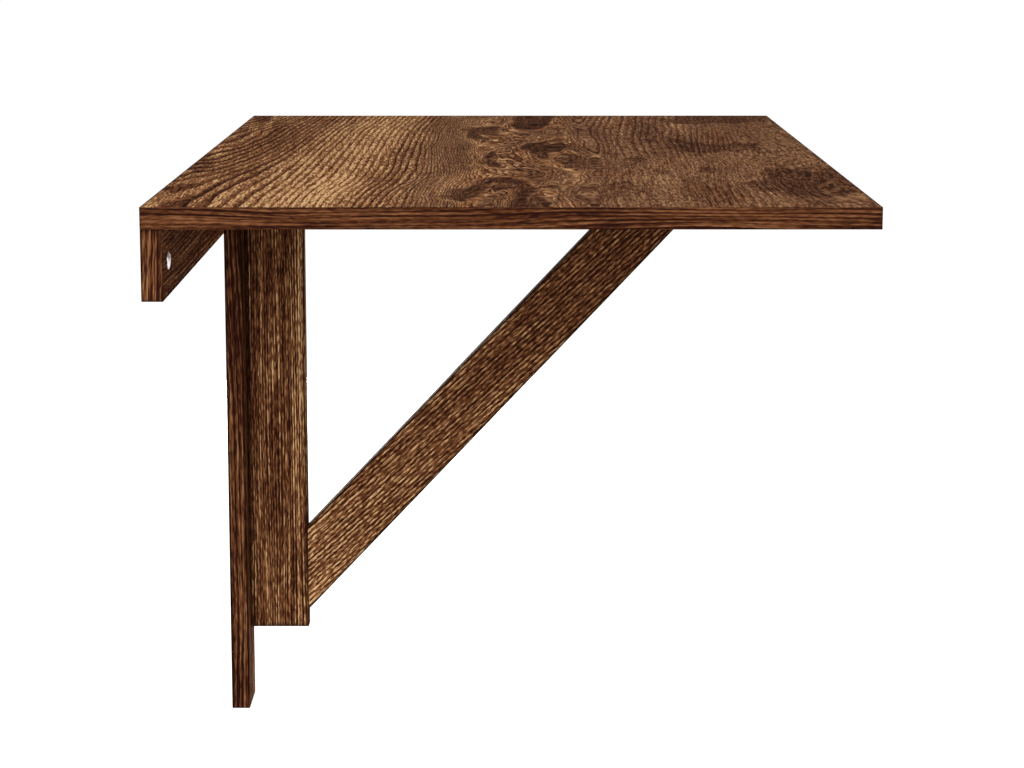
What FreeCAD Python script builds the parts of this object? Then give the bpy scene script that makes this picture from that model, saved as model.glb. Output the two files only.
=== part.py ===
import FreeCAD, Part
import math
import os

# Wall table with a leaf that drops and a bracket that swings out to carry it, in millimetres.
# X runs out from the wall, Y runs along it and Z is up.
# The origin is the middle of the batten's wall face, and the bracket stands square to the wall.

# Boards
table_width = 1000.0
table_depth = 600.0
table_height = 560.0
board = 18.0
member_width = 59.0
edge_band = 1.0
arris = 0.5

# Bracket
stile_gap = 0.3
stile_foot_rise = 80.0
strut_angle = 46.6
strut_heel_rise = 18.0
rail_depth = 45.0
head_drop = 8.0

# Dowels across the bracket's joints
dowel_radius = 4.0
dowel_length = 36.0
dowel_nose = 1.0
heel_dowel_shares = (0.42, 0.78)
rail_dowel_shares = (0.28, 0.72)
head_dowel_share = 0.5

# Countersunk screws, with the head as shares of the diameter
screw_head_share = 1.0
screw_head_height_share = 0.6
screw_tip_share = 1.0
hinge_screw_diameter = 3.0
hinge_screw_length = 14.0
post_screw_diameter = 4.5
post_screw_length = 32.0
post_screw_y_share = 0.31
post_screw_z_share = 0.27

# Wall fixings in the batten
wall_hole_radius = 3.0
outer_hole_inset = 36.0
inner_hole_spacing = 300.0
washer_radius = 7.5
washer_height = 1.4
washer_lip = 0.5
washer_crown_radius = 5.6

# What all four hinges share
hinge_height = 50.0
hinge_plate = 1.5
barrel_radius = 2.5
barrel_gap = 0.2
pin_radius = 1.5
pin_clearance = 0.05
pin_head_radius = 2.3
pin_head_height = 1.0
knuckle_count = 5
knuckle_gap = 0.2
knuckle_relief = 0.5
hinge_screw_shares = (0.2, 0.8)
hinge_screw_row_share = 0.62

# Hinges between post and stile
bracket_flap_width = 17.0
bracket_hinge_inset = 62.0

# Cranked hinges between batten and leaf
leaf_hinge_clearance = 17.5
leaf_hinge_reach = 42.0
leaf_flap_width = 32.0
crank_plate = 2.5
crank_drop = 25.0
crank_bend = 3.0
crank_screw_share = 0.6

# Rubber buffer on the strut's head
buffer_radius = 8.0
buffer_round = 1.5
buffer_gap = 0.3
buffer_recess = 1.5
buffer_screw_diameter = 3.0
buffer_screw_length = 25.0

# Stop under the leaf, on the near side of the strut's head
stop_length = 52.0
stop_height = 22.0
stop_gap = 0.3
stop_round = 3.0
stop_screw_diameter = 3.5
stop_screw_length = 32.0
stop_screw_shares = (0.25, 0.75)

# Places worked out from the sizes above
half_width = table_width / 2
half_member = member_width / 2
half_board = board / 2
underside = half_member
top_face = underside + board
post_foot = top_face - table_height
post_front = board + board
stile_back = post_front + stile_gap
stile_front = stile_back + member_width
stile_foot = post_foot + stile_foot_rise
bracket_top = underside - head_drop
strut_slope = math.tan(math.radians(strut_angle))
strut_heel = stile_foot + strut_heel_rise
strut_rise = member_width / math.cos(math.radians(strut_angle))
barrel_offset = barrel_radius + barrel_gap
barrel_relief = barrel_radius + knuckle_relief
bracket_axis_x = post_front + barrel_offset
bracket_axis_y = half_board + barrel_offset
leaf_hinge_spacing = inner_hole_spacing + hinge_height + 2 * (washer_radius + leaf_hinge_clearance)
leaf_axis_x = board + leaf_hinge_reach
leaf_axis_z = underside - barrel_offset

X_WAY = FreeCAD.Vector(1, 0, 0)
Y_WAY = FreeCAD.Vector(0, 1, 0)
Z_WAY = FreeCAD.Vector(0, 0, 1)


def block(low, high):
    """A box between two opposite corners."""
    size = [end - start for start, end in zip(low, high)]
    return Part.makeBox(*size, FreeCAD.Vector(*low))


def eased(shape):
    """The same board with every arris taken off."""
    return shape.makeChamfer(arris, shape.Edges)


def upright_board(points):
    """A board in the bracket's plane with an outline in X and Z."""
    corners = [FreeCAD.Vector(x, -half_board, z) for x, z in points]
    outline = Part.makePolygon(corners + corners[:1])
    return eased(Part.Face(outline).extrude(Y_WAY * board))


def turned(profile, base, way):
    """A solid of revolution from points of radius and distance, set along a direction."""
    points = [FreeCAD.Vector(radius, 0, distance) for radius, distance in profile]
    face = Part.Face(Part.makePolygon(points + points[:1]))
    solid = face.revolve(FreeCAD.Vector(), Z_WAY, 360)
    solid.Placement = FreeCAD.Placement(base, FreeCAD.Rotation(Z_WAY, way))
    return solid


def wood_screw(diameter, length, base, way):
    """A countersunk screw whose head is flush at base and whose point lies along a direction."""
    shank = diameter / 2
    head = diameter * screw_head_share
    neck = diameter * screw_head_height_share
    tip = length - diameter * screw_tip_share
    profile = [(0, 0), (head, 0), (shank, neck), (shank, tip), (0, length)]
    return turned(profile, base, way)


def dowel(centre, way):
    """A dowel with both ends chamfered, centred on a joint."""
    half = dowel_length / 2
    nose = dowel_radius - dowel_nose
    shoulder = half - dowel_nose
    profile = [(0, -half), (nose, -half), (dowel_radius, -shoulder),
               (dowel_radius, shoulder), (nose, half), (0, half)]
    return turned(profile, centre, way)


def cut_all(shape, tools):
    """The shape with the space of each tool taken out."""
    for tool in tools:
        shape = shape.cut(tool)
    return shape


def strut_low_x(z):
    """Where the strut's lower edge lies at a height."""
    return stile_front + (z - strut_heel) / strut_slope


def strut_high_x(z):
    """Where the strut's upper edge lies at a height."""
    return strut_low_x(z - strut_rise)


def head_middle():
    """The middle of the strut's head along X."""
    return (strut_low_x(bracket_top) + strut_high_x(bracket_top)) / 2


# Leaf

def tabletop():
    """The leaf's board, without its edge bands."""
    low = (edge_band, -half_width + edge_band, underside)
    high = (table_depth - edge_band, half_width - edge_band, top_face)
    return block(low, high)


def edge_bands():
    """The four strips glued round the leaf, of which both ends run the full depth."""
    side = half_width - edge_band
    front = table_depth - edge_band
    return {
        "edge_band_near": block((0, -half_width, underside), (table_depth, -side, top_face)),
        "edge_band_far": block((0, side, underside), (table_depth, half_width, top_face)),
        "edge_band_front": block((front, -side, underside), (table_depth, side, top_face)),
        "edge_band_back": block((0, -side, underside), (edge_band, side, top_face)),
    }


def stop_block():
    """The block that stops the bracket square to the wall."""
    far = -half_board - stop_gap
    start = head_middle() - stop_length / 2
    solid = block((start, far - board, underside - stop_height), (start + stop_length, far, underside))
    upright = [edge for edge in solid.Edges if edge.BoundBox.ZLength > edge.BoundBox.DiagonalLength / 2]
    return solid.makeFillet(stop_round, upright)


def stop_screws():
    """Two screws up through the stop block into the leaf."""
    y = -half_board - stop_gap - half_board
    start = head_middle() - stop_length / 2
    return [wood_screw(stop_screw_diameter, stop_screw_length,
                       FreeCAD.Vector(start + stop_length * share, y, underside - stop_height), Z_WAY)
            for share in stop_screw_shares]


# Wall frame

def wall_hole_places():
    """Where along the batten the wall screws go."""
    outer = half_width - outer_hole_inset
    inner = inner_hole_spacing / 2
    return (-outer, -inner, inner, outer)


def wall_batten():
    """The board that is screwed to the wall."""
    body = eased(block((0, -half_width, -half_member), (board, half_width, half_member)))
    holes = [Part.makeCylinder(wall_hole_radius, board, FreeCAD.Vector(0, y, 0), X_WAY)
             for y in wall_hole_places()]
    return cut_all(body, holes)


def wall_washers():
    """Cup washers round the wall holes, open for the wall screws."""
    profile = [(wall_hole_radius, 0), (washer_radius, 0), (washer_radius, washer_lip),
               (washer_crown_radius, washer_height), (wall_hole_radius, washer_lip)]
    return [turned(profile, FreeCAD.Vector(board, y, 0), X_WAY) for y in wall_hole_places()]


def wall_post():
    """The upright in front of the batten that carries the bracket's hinges."""
    return eased(block((board, -half_member, post_foot), (post_front, half_member, underside)))


def post_screws():
    """Four screws through the batten into the post."""
    y = member_width * post_screw_y_share
    z = member_width * post_screw_z_share
    return [wood_screw(post_screw_diameter, post_screw_length, FreeCAD.Vector(0, across * y, up * z), X_WAY)
            for across in (-1, 1) for up in (-1, 1)]


# Bracket

def bracket_stile():
    """The bracket's upright."""
    return upright_board([(stile_back, stile_foot), (stile_front, stile_foot),
                          (stile_front, bracket_top), (stile_back, bracket_top)])


def bracket_strut():
    """The diagonal, cut upright at its heel and level at its head."""
    return upright_board([(stile_front, strut_heel), (strut_low_x(bracket_top), bracket_top),
                          (strut_high_x(bracket_top), bracket_top), (stile_front, strut_heel + strut_rise)])


def bracket_rail():
    """The level member under the leaf, mitred to the strut."""
    foot = bracket_top - rail_depth
    return upright_board([(stile_front, foot), (strut_high_x(foot), foot),
                          (strut_high_x(bracket_top), bracket_top), (stile_front, bracket_top)])


def bracket_dowels():
    """Dowels across the bracket's three joints."""
    heights = [strut_heel + strut_rise * share for share in heel_dowel_shares]
    heights += [bracket_top - rail_depth * share for share in rail_dowel_shares]
    level = [dowel(FreeCAD.Vector(stile_front, 0, z), X_WAY) for z in heights]
    z = bracket_top - rail_depth * head_dowel_share
    slanted = dowel(FreeCAD.Vector(strut_high_x(z), 0, z), FreeCAD.Vector(strut_slope, 0, -1))
    return level + [slanted]


def head_buffer():
    """The rubber buffer that carries the leaf, with a sunk seat for its screw."""
    height = head_drop - buffer_gap
    seat = height - buffer_recess
    head = buffer_screw_diameter * screw_head_share
    profile = [(0, 0), (buffer_radius, 0), (buffer_radius, height - buffer_round),
               (buffer_radius - buffer_round, height), (head, height), (head, seat), (0, seat)]
    return turned(profile, FreeCAD.Vector(head_middle(), 0, bracket_top), Z_WAY)


def head_buffer_screw():
    """The screw that holds the buffer on the strut."""
    seat = bracket_top + head_drop - buffer_gap - buffer_recess
    base = FreeCAD.Vector(head_middle(), 0, seat)
    return wood_screw(buffer_screw_diameter, buffer_screw_length, base, -Z_WAY)


# Hinges, made with the pin along Z from the origin, then placed

def knuckle_spans(first):
    """The ends of every second knuckle, from the first or the next one."""
    pitch = hinge_height / knuckle_count
    margin = knuckle_gap / 2
    return [(n * pitch + margin, (n + 1) * pitch - margin) for n in range(first, knuckle_count, 2)]


def with_knuckles(plate, low, high, first):
    """A plate joined to its knuckles by tongues between two corners, and bored for the pin."""
    for bottom, top in knuckle_spans(first):
        tongue = block((*low, bottom), (*high, top))
        barrel = Part.makeCylinder(barrel_radius, top - bottom, FreeCAD.Vector(0, 0, bottom))
        plate = plate.fuse(tongue).fuse(barrel)
    bore = Part.makeCylinder(pin_radius + pin_clearance, hinge_height)
    return plate.cut(bore).removeSplitter()


def flap(width, first):
    """A flap along +Y whose back lies one barrel offset behind the pin."""
    back = -barrel_offset
    front = back + hinge_plate
    plate = block((back, barrel_relief, 0), (front, width, hinge_height))
    return with_knuckles(plate, (back, 0), (front, barrel_relief), first)


def crank_arm():
    """An angle bent from plate, with a level leg from the pin back to the batten and a leg down it."""
    half = crank_plate / 2
    wall = -leaf_hinge_reach
    face = wall + crank_plate
    outer = crank_bend + crank_plate
    middle = FreeCAD.Vector(half + crank_bend, face + crank_bend, 0)
    diagonal = FreeCAD.Vector(-1, -1, 0).normalize()

    def bend(start, end, radius):
        return Part.Arc(start, middle + diagonal * radius, end)

    level_top = FreeCAD.Vector(-half, -barrel_relief, 0)
    outer_start = FreeCAD.Vector(-half, wall + outer, 0)
    outer_end = FreeCAD.Vector(-half + outer, wall, 0)
    foot_wall = FreeCAD.Vector(crank_drop, wall, 0)
    foot_face = FreeCAD.Vector(crank_drop, face, 0)
    inner_start = FreeCAD.Vector(half + crank_bend, face, 0)
    inner_end = FreeCAD.Vector(half, face + crank_bend, 0)
    level_low = FreeCAD.Vector(half, -barrel_relief, 0)
    path = [Part.LineSegment(level_top, outer_start), bend(outer_start, outer_end, outer),
            Part.LineSegment(outer_end, foot_wall), Part.LineSegment(foot_wall, foot_face),
            Part.LineSegment(foot_face, inner_start), bend(inner_start, inner_end, crank_bend),
            Part.LineSegment(inner_end, level_low), Part.LineSegment(level_low, level_top)]
    outline = Part.Wire([piece.toShape() for piece in path])
    plate = Part.Face(outline).extrude(Z_WAY * hinge_height)
    return with_knuckles(plate, (-half, -barrel_relief), (half, 0), 0)


def hinge_pin():
    """A pin with a low head at each end of the barrel."""
    head = hinge_height + pin_head_height
    profile = [(0, -pin_head_height), (pin_head_radius, -pin_head_height), (pin_head_radius, 0),
               (pin_radius, 0), (pin_radius, hinge_height), (pin_head_radius, hinge_height),
               (pin_head_radius, head), (0, head)]
    return turned(profile, FreeCAD.Vector(), Z_WAY)


def placed(shape, base, x_way, z_way):
    """A hinge piece moved to a base, with its own X and Z along two directions."""
    y_way = z_way.cross(x_way)
    move = FreeCAD.Matrix(x_way.x, y_way.x, z_way.x, base.x,
                          x_way.y, y_way.y, z_way.y, base.y,
                          x_way.z, y_way.z, z_way.z, base.z)
    copy = shape.copy()
    copy.Placement = FreeCAD.Placement(move)
    return copy


def bracket_hinges():
    """The two butt hinges in the far corner of post and stile, and the screws of each side."""
    pieces, post_side, stile_side = {}, [], []
    row = bracket_flap_width * hinge_screw_row_share
    feet = {"upper": bracket_top - bracket_hinge_inset, "lower": stile_foot + bracket_hinge_inset}
    for name, middle in feet.items():
        low = middle - hinge_height / 2
        base = FreeCAD.Vector(bracket_axis_x, bracket_axis_y, low)
        top = base + Z_WAY * hinge_height
        heights = [low + hinge_height * share for share in hinge_screw_shares]
        for z in heights:
            on_post = FreeCAD.Vector(post_front + hinge_plate, bracket_axis_y + row, z)
            on_stile = FreeCAD.Vector(bracket_axis_x + row, half_board + hinge_plate, z)
            post_side.append(wood_screw(hinge_screw_diameter, hinge_screw_length, on_post, -X_WAY))
            stile_side.append(wood_screw(hinge_screw_diameter, hinge_screw_length, on_stile, -Y_WAY))
        post_flap = placed(flap(bracket_flap_width, 0), base, X_WAY, Z_WAY)
        stile_flap = placed(flap(bracket_flap_width, 1), top, Y_WAY, -Z_WAY)
        pieces[name + "_hinge_post_flap"] = cut_all(post_flap, post_side)
        pieces[name + "_hinge_stile_flap"] = cut_all(stile_flap, stile_side)
        pieces[name + "_hinge_pin"] = placed(hinge_pin(), base, X_WAY, Z_WAY)
    return pieces, post_side, stile_side


def leaf_hinges():
    """The two cranked hinges between batten and leaf, and the screws of each side."""
    pieces, arm_side, flap_side = {}, [], []
    row = leaf_axis_x + leaf_flap_width * hinge_screw_row_share
    screw_z = leaf_axis_z - crank_drop * crank_screw_share
    for name, side in {"near": -1, "far": 1}.items():
        end = side * leaf_hinge_spacing / 2 + hinge_height / 2
        base = FreeCAD.Vector(leaf_axis_x, end, leaf_axis_z)
        for y in [end - hinge_height * share for share in hinge_screw_shares]:
            on_arm = FreeCAD.Vector(board + crank_plate, y, screw_z)
            on_flap = FreeCAD.Vector(row, y, underside - hinge_plate)
            arm_side.append(wood_screw(hinge_screw_diameter, hinge_screw_length, on_arm, -X_WAY))
            flap_side.append(wood_screw(hinge_screw_diameter, hinge_screw_length, on_flap, Z_WAY))
        arm = placed(crank_arm(), base, -Z_WAY, -Y_WAY)
        leaf_flap = placed(flap(leaf_flap_width, 1), base, -Z_WAY, -Y_WAY)
        pieces[name + "_leaf_hinge_arm"] = cut_all(arm, arm_side)
        pieces[name + "_leaf_hinge_flap"] = cut_all(leaf_flap, flap_side)
        pieces[name + "_leaf_hinge_pin"] = placed(hinge_pin(), base, -Z_WAY, -Y_WAY)
    return pieces, arm_side, flap_side


def build():
    """Every node of the table by name, with the boards drilled for what goes into them."""
    swing_pieces, post_flap_screws, stile_flap_screws = bracket_hinges()
    drop_pieces, arm_screws, flap_screws = leaf_hinges()
    long_screws = post_screws()
    block_screws = stop_screws()
    dowels = bracket_dowels()
    buffer_screw = head_buffer_screw()
    nodes = {
        "tabletop": cut_all(tabletop(), flap_screws + block_screws),
        "wall_batten": cut_all(wall_batten(), long_screws + arm_screws),
        "wall_post": cut_all(wall_post(), long_screws + post_flap_screws),
        "wall_washers": Part.Compound(wall_washers()),
        "post_screws": Part.Compound(long_screws),
        "bracket_stile": cut_all(bracket_stile(), dowels + stile_flap_screws),
        "bracket_strut": cut_all(bracket_strut(), dowels + [buffer_screw]),
        "bracket_rail": cut_all(bracket_rail(), dowels),
        "bracket_dowels": Part.Compound(dowels),
        "bracket_hinge_post_screws": Part.Compound(post_flap_screws),
        "bracket_hinge_stile_screws": Part.Compound(stile_flap_screws),
        "leaf_hinge_arm_screws": Part.Compound(arm_screws),
        "leaf_hinge_flap_screws": Part.Compound(flap_screws),
        "head_buffer": head_buffer().cut(buffer_screw),
        "head_buffer_screw": buffer_screw,
        "stop_block": cut_all(stop_block(), block_screws),
        "stop_screws": Part.Compound(block_screws),
    }
    return {**nodes, **edge_bands(), **swing_pieces, **drop_pieces}


os.makedirs("parts", exist_ok=True)
for node, shape in build().items():
    shape.exportStep(f"parts/{node}.step")
    print(node, "solids", len(shape.Solids), "volume", round(shape.Volume, 1), "valid", shape.isValid())
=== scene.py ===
"""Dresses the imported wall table: smoked oak boards, zinc hinges and screws, and a plain studio."""

import logging
import math
from dataclasses import dataclass, replace
from enum import Enum

import bmesh
import bpy
from mathutils import Matrix, Vector


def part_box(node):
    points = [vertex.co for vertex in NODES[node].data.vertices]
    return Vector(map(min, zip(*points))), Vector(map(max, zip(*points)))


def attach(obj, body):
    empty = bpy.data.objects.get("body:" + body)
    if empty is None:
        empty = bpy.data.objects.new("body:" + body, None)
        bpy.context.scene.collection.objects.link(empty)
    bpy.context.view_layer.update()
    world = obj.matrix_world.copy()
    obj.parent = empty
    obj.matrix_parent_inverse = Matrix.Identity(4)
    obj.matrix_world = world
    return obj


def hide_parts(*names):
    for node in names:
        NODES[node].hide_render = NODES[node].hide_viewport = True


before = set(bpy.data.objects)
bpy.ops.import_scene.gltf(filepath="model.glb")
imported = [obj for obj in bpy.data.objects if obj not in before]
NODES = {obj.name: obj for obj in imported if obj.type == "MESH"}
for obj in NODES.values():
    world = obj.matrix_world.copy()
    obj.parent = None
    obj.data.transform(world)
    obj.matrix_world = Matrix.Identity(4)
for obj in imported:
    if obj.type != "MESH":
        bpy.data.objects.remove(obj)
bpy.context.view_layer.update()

LOG = logging.getLogger("wall_table")

Socket = bpy.types.NodeSocket
Node = bpy.types.Node
Tree = bpy.types.NodeTree
Value = float | Socket
Pair = tuple[float, float]
Colour = tuple[float, float, float]
Stops = tuple[Pair, ...]
ColourStops = tuple[tuple[float, Colour], ...]
Window = tuple[float, float, float, float]

STRUT_ANGLE = math.radians(46.6)
OUT = Vector((1, 0, 0))
ALONG = Vector((0, 1, 0))
UP = Vector((0, 0, 1))
WHITE = (1.0, 1.0, 1.0)

END_GRAIN_COSINE = 0.8
FOIL_GLOSS = 0.002
FOIL_RELIEF = 0.0004
# Colour of the dark lines along board edges: painted edge shadow, partly the foil's darker wrap.
EDGE_SHADOW_AND_WRAP_COLOUR: Colour = (0.008, 0.003, 0.0016)

POST_SCREW = 0.0045
STOP_SCREW = 0.0035
HINGE_SCREW = 0.003


class Body(Enum):
    """The two bodies that the joint connects."""

    WALL_FRAME = "wall_frame"
    BRACKET = "bracket"


class Slot(Enum):
    """The record's material slots, which the screw sets carry."""

    ZINC = "zinc_steel"
    NICKEL = "nickel_plate"


@dataclass(frozen=True)
class Layer:
    """One kind of noise on a board, in the board's own axes with the grain along Y."""

    across: Value  # waves for each metre over the width and the thickness
    along: Value  # waves for each metre along the grain
    seed: float = 0.0  # what is added to the board's seed
    detail: float = 2.0  # how many finer layers it has
    rough: float = 0.5  # how strong the finer layers are
    twist: float = 0.0  # how far it is distorted
    span: Pair | None = None  # the part of its range that is stretched to 0 and 1


class Graph:
    """Short calls for building one node tree."""

    def __init__(self, tree: Tree) -> None:
        """Keeps the tree, a material's or a group's, whose nodes are made."""
        self.tree = tree

    def node(self, kind: str, *values: object, named: dict[str, object] | None = None,
             **settings: object) -> Node:
        """Adds a node.

        Args:
            kind: the node's type name.
            values: what its first inputs are fed.
            named: what other inputs are fed, by name.
            settings: properties that are set on it.

        Returns:
            The new node.
        """
        made = self.tree.nodes.new(kind)
        for name, value in settings.items():
            setattr(made, name, value)
        for target, value in zip(made.inputs, values):
            self.feed(target, value)
        for name, value in (named or {}).items():
            self.feed(made.inputs[name], value)
        return made

    def feed(self, target: Socket, value: object) -> None:
        """Links a socket to the target, or sets the target's own value.

        Args:
            target: an input socket.
            value: an output socket, a number, a vector or a colour.
        """
        if isinstance(value, Socket):
            self.tree.links.new(value, target)
        elif target.type == "RGBA":
            target.default_value = (*value, 1.0)
        else:
            target.default_value = value

    def math(self, way: str, *values: Value) -> Socket:
        """Adds a Math node for an operation on one to three values."""
        return self.node("ShaderNodeMath", *values, operation=way).outputs[0]

    def times(self, first: Value, second: Value) -> Socket:
        """Multiplies two values."""
        return self.math("MULTIPLY", first, second)

    def add(self, base: Value, value: Value, amount: Value) -> Socket:
        """Adds a value, times an amount, to a base."""
        return self.math("MULTIPLY_ADD", value, amount, base)

    def sway(self, base: Value, noise: Socket, amount: Value) -> Socket:
        """Adds noise, taken about its mean and times an amount, to a base."""
        return self.add(base, self.math("SUBTRACT", noise, 0.5), amount)

    def ease(self, value: Value, low: Value, high: Value, start: float = 0.0,
             end: float = 1.0) -> Socket:
        """Maps the range from low to high smoothly to that from start to end."""
        values = (value, low, high, start, end)
        return self.node("ShaderNodeMapRange", *values, interpolation_type="SMOOTHSTEP").outputs[0]

    def window(self, value: Socket, limits: Window) -> Socket:
        """Gives 1 inside soft limits: where it starts to rise, is full, starts to fall and is gone."""
        start, full, late, end = limits
        return self.times(self.ease(value, start, full), self.ease(value, late, end, 1.0, 0.0))

    def vector(self, x: Value, y: Value, z: Value) -> Socket:
        """Joins three numbers to a vector."""
        return self.node("ShaderNodeCombineXYZ", x, y, z).outputs[0]

    def split(self, value: Socket) -> tuple[Socket, Socket, Socket]:
        """Splits a vector into its three numbers."""
        return tuple(self.node("ShaderNodeSeparateXYZ", value).outputs)

    def noise(self, place: Socket, seed: Value, layer: Layer) -> Socket:
        """Adds smooth noise.

        Args:
            place: the coordinates' socket.
            seed: the fourth coordinate, which sets one board's noise apart from another's.
            layer: the kind of noise.

        Returns:
            The noise, from 0 to 1.
        """
        scales = (layer.across, layer.along, layer.across)
        spread = [self.times(part, scale) for part, scale in zip(self.split(place), scales)]
        shifted = self.math("ADD", seed, layer.seed) if isinstance(seed, Socket) else seed + layer.seed
        named = {"Vector": self.vector(*spread), "W": shifted, "Scale": 1.0, "Detail": layer.detail,
                 "Roughness": layer.rough, "Distortion": layer.twist}
        made = self.node("ShaderNodeTexNoise", named=named, noise_dimensions="4D").outputs["Fac"]
        return self.ease(made, *layer.span) if layer.span else made

    def ramp(self, value: Socket, stops: ColourStops) -> Socket:
        """Adds a colour ramp.

        Args:
            value: where on the ramp to read.
            stops: places and colours.

        Returns:
            The colour's socket.
        """
        made = self.node("ShaderNodeValToRGB", value)
        elements = made.color_ramp.elements
        while len(elements) < len(stops):
            elements.new(0.5)
        for element, (place, colour) in zip(elements, stops):
            element.position = place
            element.color = (*colour, 1.0)
        return made.outputs["Color"]

    def level(self, value: Socket, stops: Stops) -> Socket:
        """Adds a ramp of plain numbers."""
        return self.ramp(value, tuple((place, (number,) * 3) for place, number in stops))

    def mix(self, kind: str, share: Value, first: object, second: object) -> Socket:
        """Mixes two colours or two vectors.

        Args:
            kind: RGBA or VECTOR.
            share: how much of the second one shows.
            first: a colour or vector, or its socket.
            second: a colour or vector, or its socket.

        Returns:
            The mixed socket.
        """
        made = self.node("ShaderNodeMix", share, data_type=kind, clamp_factor=True)
        targets = [s for s in made.inputs if s.type == kind and s.name in ("A", "B")]
        for target, value in zip(targets, (first, second)):
            self.feed(target, value)
        return [s for s in made.outputs if s.type == kind][0]

    def group(self, tree: Tree, **values: object) -> Node:
        """Places a shared node group, with underscores for the spaces in its inputs' names."""
        named = {name.replace("_", " "): value for name, value in values.items()}
        return self.node("ShaderNodeGroup", named=named, node_tree=tree)


def new_group(name: str, inputs: tuple[str, ...],
              outputs: tuple[str, ...]) -> tuple[Graph, dict[str, Socket], Node]:
    """Makes an empty shader node group, with a vector as its first input and numbers for the rest.

    Args:
        name: the group's name.
        inputs: names of its numbers.
        outputs: names of its results.

    Returns:
        The group's graph, its inputs by name, and its output node.
    """
    tree = bpy.data.node_groups.new(name, "ShaderNodeTree")
    tree.interface.new_socket(name="Vector", in_out="INPUT", socket_type="NodeSocketVector")
    for way, labels in (("INPUT", inputs), ("OUTPUT", outputs)):
        for label in labels:
            tree.interface.new_socket(name=label, in_out=way, socket_type="NodeSocketFloat")
    graph = Graph(tree)
    source = graph.node("NodeGroupInput")
    return graph, {s.name: s for s in source.outputs if s.name}, graph.node("NodeGroupOutput")


GRAIN_VALUES = ("Seed", "Pitch", "Figure", "Figure Width", "Figure Length", "Drift", "Line Depth",
                "Streak", "Fleck", "Fleck Length", "Fineness", "Pore Depth", "Wobble")
WOBBLE = Layer(across=45.0, along=6.0, seed=3.1)
FIBRE = Layer(across=560.0, along=9.0, seed=7.7, rough=0.55, span=(0.34, 0.66))
FLECK = Layer(across=680.0, along=1.0, seed=23.3, detail=1.0, span=(0.38, 0.62))
PORE_DASHES = Layer(across=1100.0, along=48.0, seed=11.3, detail=1.0, span=(0.55, 0.68))
BROAD_BANDS = Layer(across=24.0, along=3.6, seed=17.9)
DRAWN_LINES = Layer(across=2600.0, along=130.0)
DULL_SPOTS = Layer(across=160.0, along=160.0, seed=5.0, detail=3.0)
DEPTH_SHIFT = 0.8
RING_RISE = (0.3, 0.88)
RING_END = (0.92, 1.0)
RING_STEP = 0.731
FAINTEST_RING = 0.5
PORE_LOSS = 0.6
FIBRE_RISE, PORE_SINK, LINE_SINK = 0.4, 0.6, 0.3
BURL_HEART = (0.53, 0.57)
BURL_RIM = (0.44, 0.5, 0.51, 0.54)
SPOT_SHARE = 0.6
SPOT_DULLNESS, LINE_DULLNESS = 0.3, 0.12


def grain_group() -> Tree:
    """Makes the smoked oak's grain: growth lines, fibres and pores along a board's own Y.

    Returns:
        The node group.
    """
    g, i, out = new_group("smoked_oak_grain", (*GRAIN_VALUES, "Tone", "Warp", "Flame"),
                          ("Tone", "Height"))
    own, seed = i["Vector"], i["Seed"]
    x, y, z = g.split(own)
    figure = Layer(g.math("DIVIDE", 1.0, i["Figure Width"]), g.math("DIVIDE", 1.0, i["Figure Length"]),
                   detail=1.5, rough=0.45)
    across = g.math("ADD", g.add(x, z, DEPTH_SHIFT), i["Warp"])
    across = g.sway(across, g.noise(own, seed, figure), g.times(i["Figure"], 2.0))
    across = g.sway(across, g.noise(own, seed, WOBBLE), i["Wobble"])
    # Each growth line darkens slowly, ends sharply and has its own strength.
    phase = g.math("DIVIDE", g.math("ADD", across, i["Flame"]), i["Pitch"])
    ring = g.math("FRACT", phase)
    number = g.add(seed, g.math("FLOOR", phase), RING_STEP)
    odd = g.node("ShaderNodeTexWhiteNoise", named={"W": number}, noise_dimensions="1D")
    rise = g.ease(ring, *RING_RISE)
    line = g.times(rise, g.ease(ring, *RING_END, 1.0, 0.0))
    line = g.times(line, g.add(FAINTEST_RING, odd.outputs["Value"], 1.0 - FAINTEST_RING))
    # Fibres, flecks and pores follow the lines.
    flow = g.vector(across, y, 0.0)
    long = replace(FIBRE, across=g.times(i["Fineness"], FIBRE.across))
    fibre = g.noise(flow, seed, long)
    short = replace(FLECK, across=g.times(i["Fineness"], FLECK.across),
                    along=g.math("DIVIDE", FLECK.along, i["Fleck Length"]))
    fleck = g.noise(flow, seed, short)
    pores = g.times(g.noise(flow, seed, PORE_DASHES), g.add(1.0, rise, -PORE_LOSS))
    tone = g.sway(i["Tone"], g.noise(own, seed, BROAD_BANDS), i["Drift"])
    tone = g.sway(tone, fibre, i["Streak"])
    tone = g.sway(tone, fleck, i["Fleck"])
    tone = g.math("SUBTRACT", tone, g.times(line, i["Line Depth"]))
    g.feed(out.inputs["Tone"], g.math("SUBTRACT", tone, g.times(pores, i["Pore Depth"])))
    height = g.add(g.times(fibre, FIBRE_RISE), pores, -PORE_SINK)
    g.feed(out.inputs["Height"], g.add(height, line, -LINE_SINK))
    return g.tree


def edge_shadow_and_wrap_group() -> Tree:
    """Makes a mask of a board's edges, where dark lines are painted: painted edge shadow, partly the
    foil's darker wrap.

    Returns:
        The node group.
    """
    halves = ("Half Width", "Half Length", "Half Thickness")
    g, i, out = new_group("painted_edge_shadow_and_wrap", (*halves, "Line Width"), ("Mask",))
    lows = [g.math("SUBTRACT", i[half], i["Line Width"]) for half in halves]
    side, end, face = (g.ease(g.math("ABSOLUTE", part), low, i[half])
                       for part, low, half in zip(g.split(i["Vector"]), lows, halves))
    mask = g.math("MAXIMUM", g.times(side, face), g.times(end, face))
    g.feed(out.inputs["Mask"], g.math("MAXIMUM", mask, g.times(side, end)))
    return g.tree


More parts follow.
